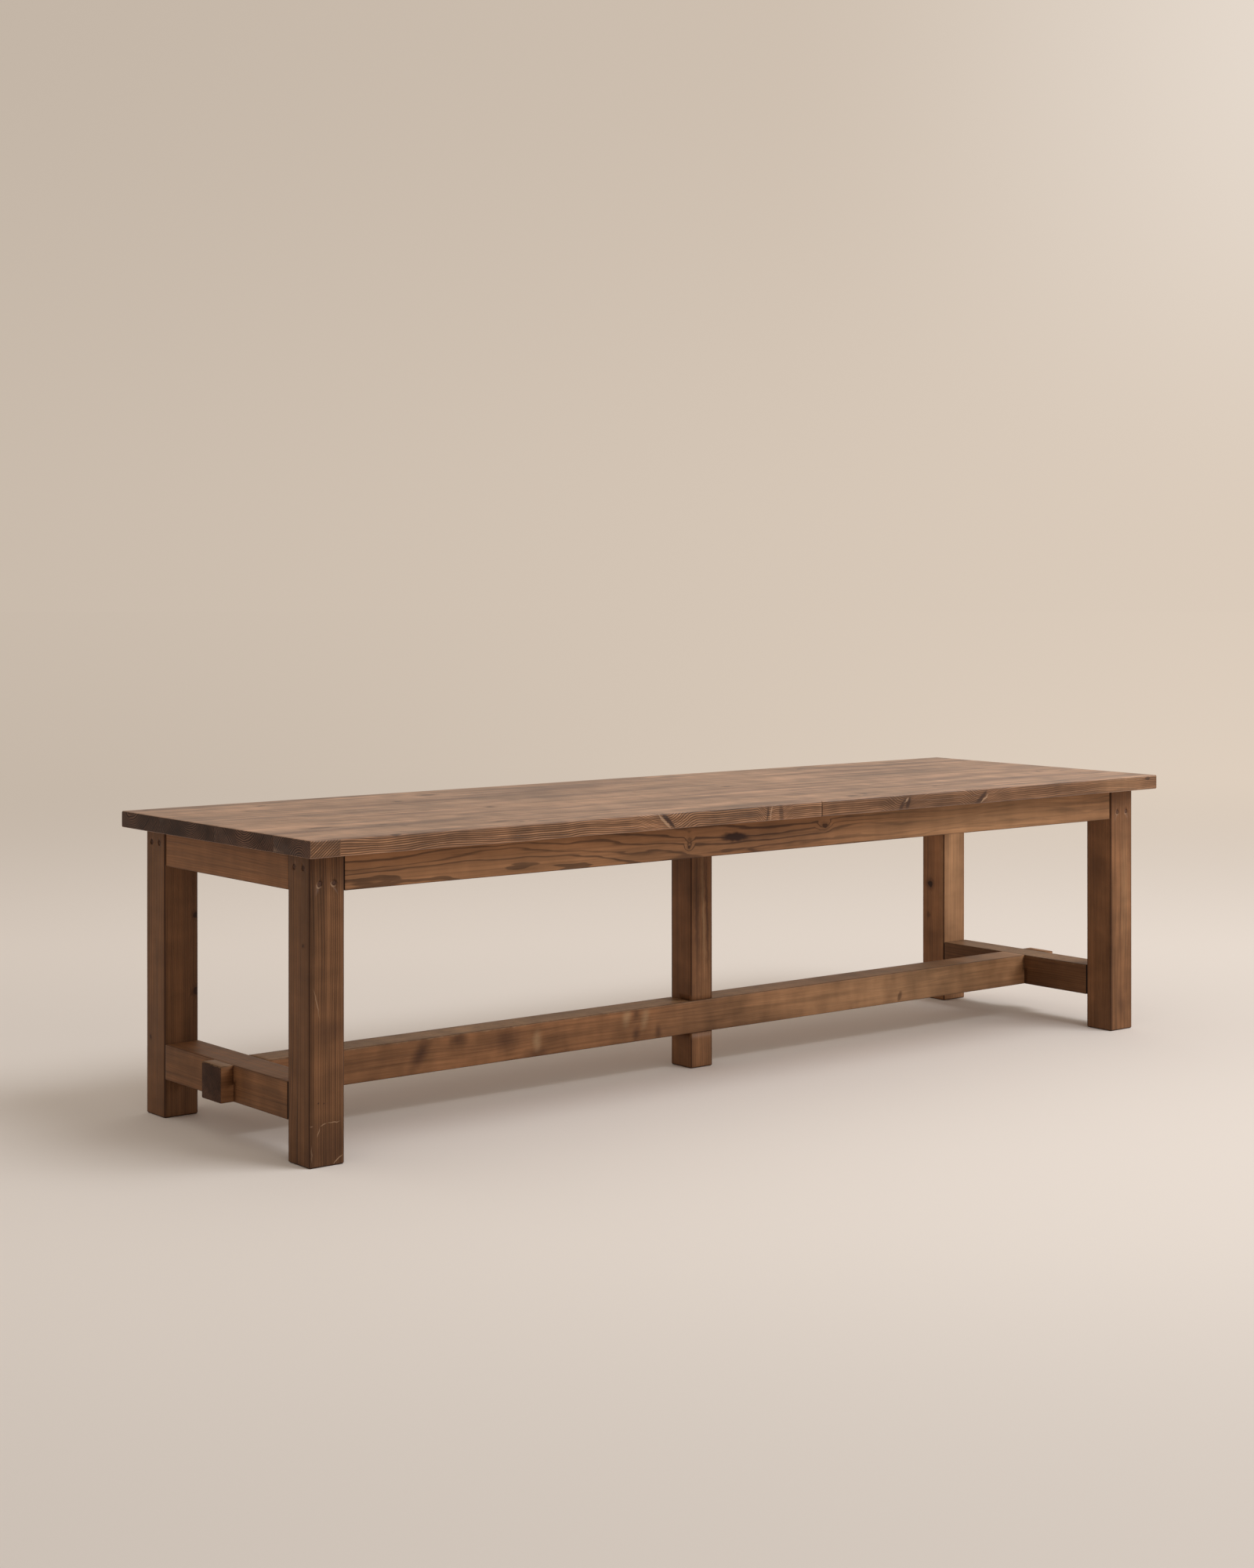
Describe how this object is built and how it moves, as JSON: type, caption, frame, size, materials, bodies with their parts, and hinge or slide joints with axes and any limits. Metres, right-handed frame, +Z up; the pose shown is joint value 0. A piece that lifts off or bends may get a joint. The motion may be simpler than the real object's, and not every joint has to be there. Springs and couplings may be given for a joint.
{
  "type": "farmhouse table",
  "caption": "Long farmhouse dining table: a boarded wooden top on square legs, with pegged aprons and a lapped H-shaped stretcher that carries a middle leg.",
  "frame": {"origin": "on the floor, under the middle of the top", "axes": "+X along the table's length to the right, +Y from the front edge to the back, +Z up"},
  "size_m": [3, 0.93, 0.775],
  "materials": {
    "stained_top": "stained softwood, rubbed satin",
    "stained_frame": "stained softwood, rubbed satin",
    "peg_wood": "stained end grain",
    "inner_wood": "bare wood, glued in",
    "underside_wood": "stained softwood",
    "screw_steel": "zinc plated"
  },
  "bodies": {
    "root": {"top_board_back": "stained_top", "top_board_back_centre": "stained_top", "top_board_front_centre": "stained_top", "top_board_front_left": "stained_top", "top_board_front_right": "stained_top", "leg_front_left": "stained_frame", "leg_front_right": "stained_frame", "leg_back_left": "stained_frame", "leg_back_right": "stained_frame", "centre_leg": "stained_frame", "apron_front": "stained_frame", "apron_back": "stained_frame", "apron_left": "stained_frame", "apron_right": "stained_frame", "stretcher_left": "stained_frame", "stretcher_right": "stained_frame", "long_stretcher": "stained_frame", "long_apron_pegs": "peg_wood", "end_apron_pegs": "peg_wood", "centre_leg_peg": "peg_wood", "tongue_back": "inner_wood", "tongue_centre": "inner_wood", "tongue_front": "inner_wood", "splice_tongue": "inner_wood", "centre_bearer": "underside_wood", "long_buttons": "underside_wood", "end_buttons": "underside_wood", "long_button_screws": "screw_steel", "end_button_screws": "screw_steel"}
  },
  "joints": []
}
